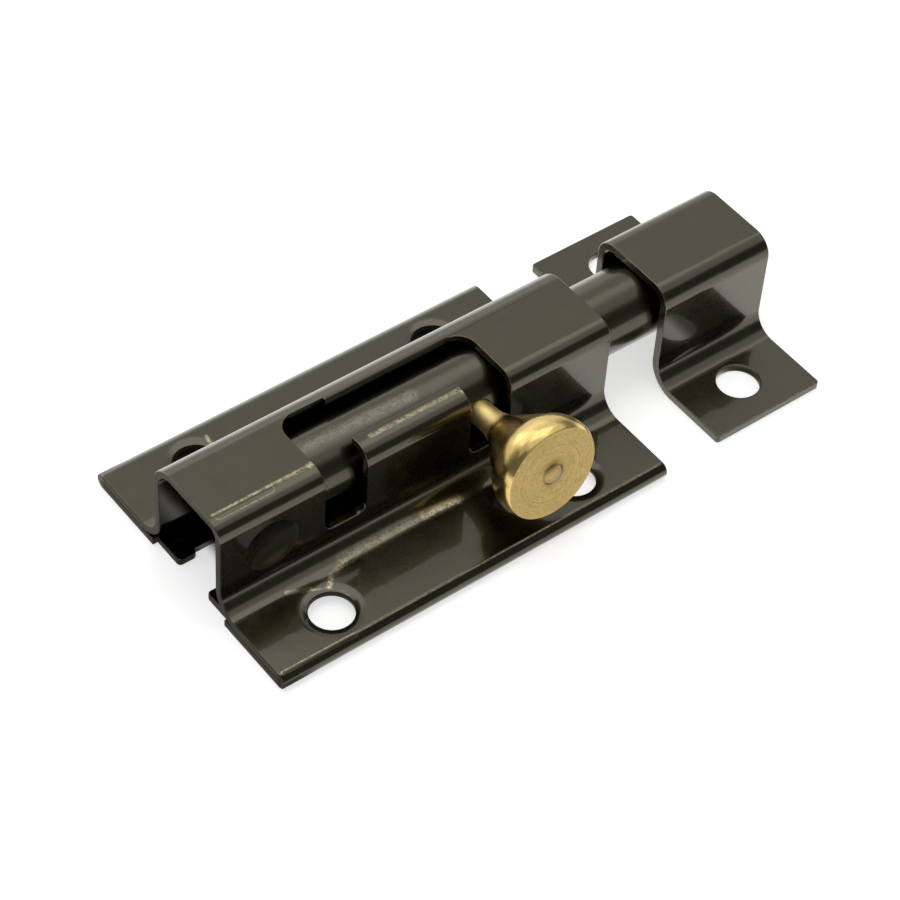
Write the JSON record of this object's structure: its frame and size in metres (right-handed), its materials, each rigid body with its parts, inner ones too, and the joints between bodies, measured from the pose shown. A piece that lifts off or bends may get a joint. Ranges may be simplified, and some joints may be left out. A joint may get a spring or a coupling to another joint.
{
  "type": "barrel bolt",
  "caption": "Round sliding door bolt with a turned brass knob, in a folded and hemmed sheet steel housing, with its separate folded keeper.",
  "frame": {"origin": "middle of the whole set's footprint, on the face of the door that it is screwed to", "axes": "+X along the bolt, from the housing towards the keeper; +Z away from the door; the knob points towards -Y"},
  "size_m": [0.0726, 0.034, 0.0161],
  "materials": {
    "bronze_coat": "gloss",
    "bolt_coat": "gloss",
    "brass": "satin, brushed face"
  },
  "bodies": {
    "housing": {"housing": "bronze_coat", "keeper": "bronze_coat"},
    "bolt": {"bolt": "bolt_coat", "knob": "brass"}
  },
  "joints": [
    {"name": "bolt_turn", "type": "hinge", "parent": "housing", "child": "bolt", "pos_m": [0, 0, 0.0085], "axis": [-1, 0, 0], "range_deg": [-8, 93]}
  ]
}
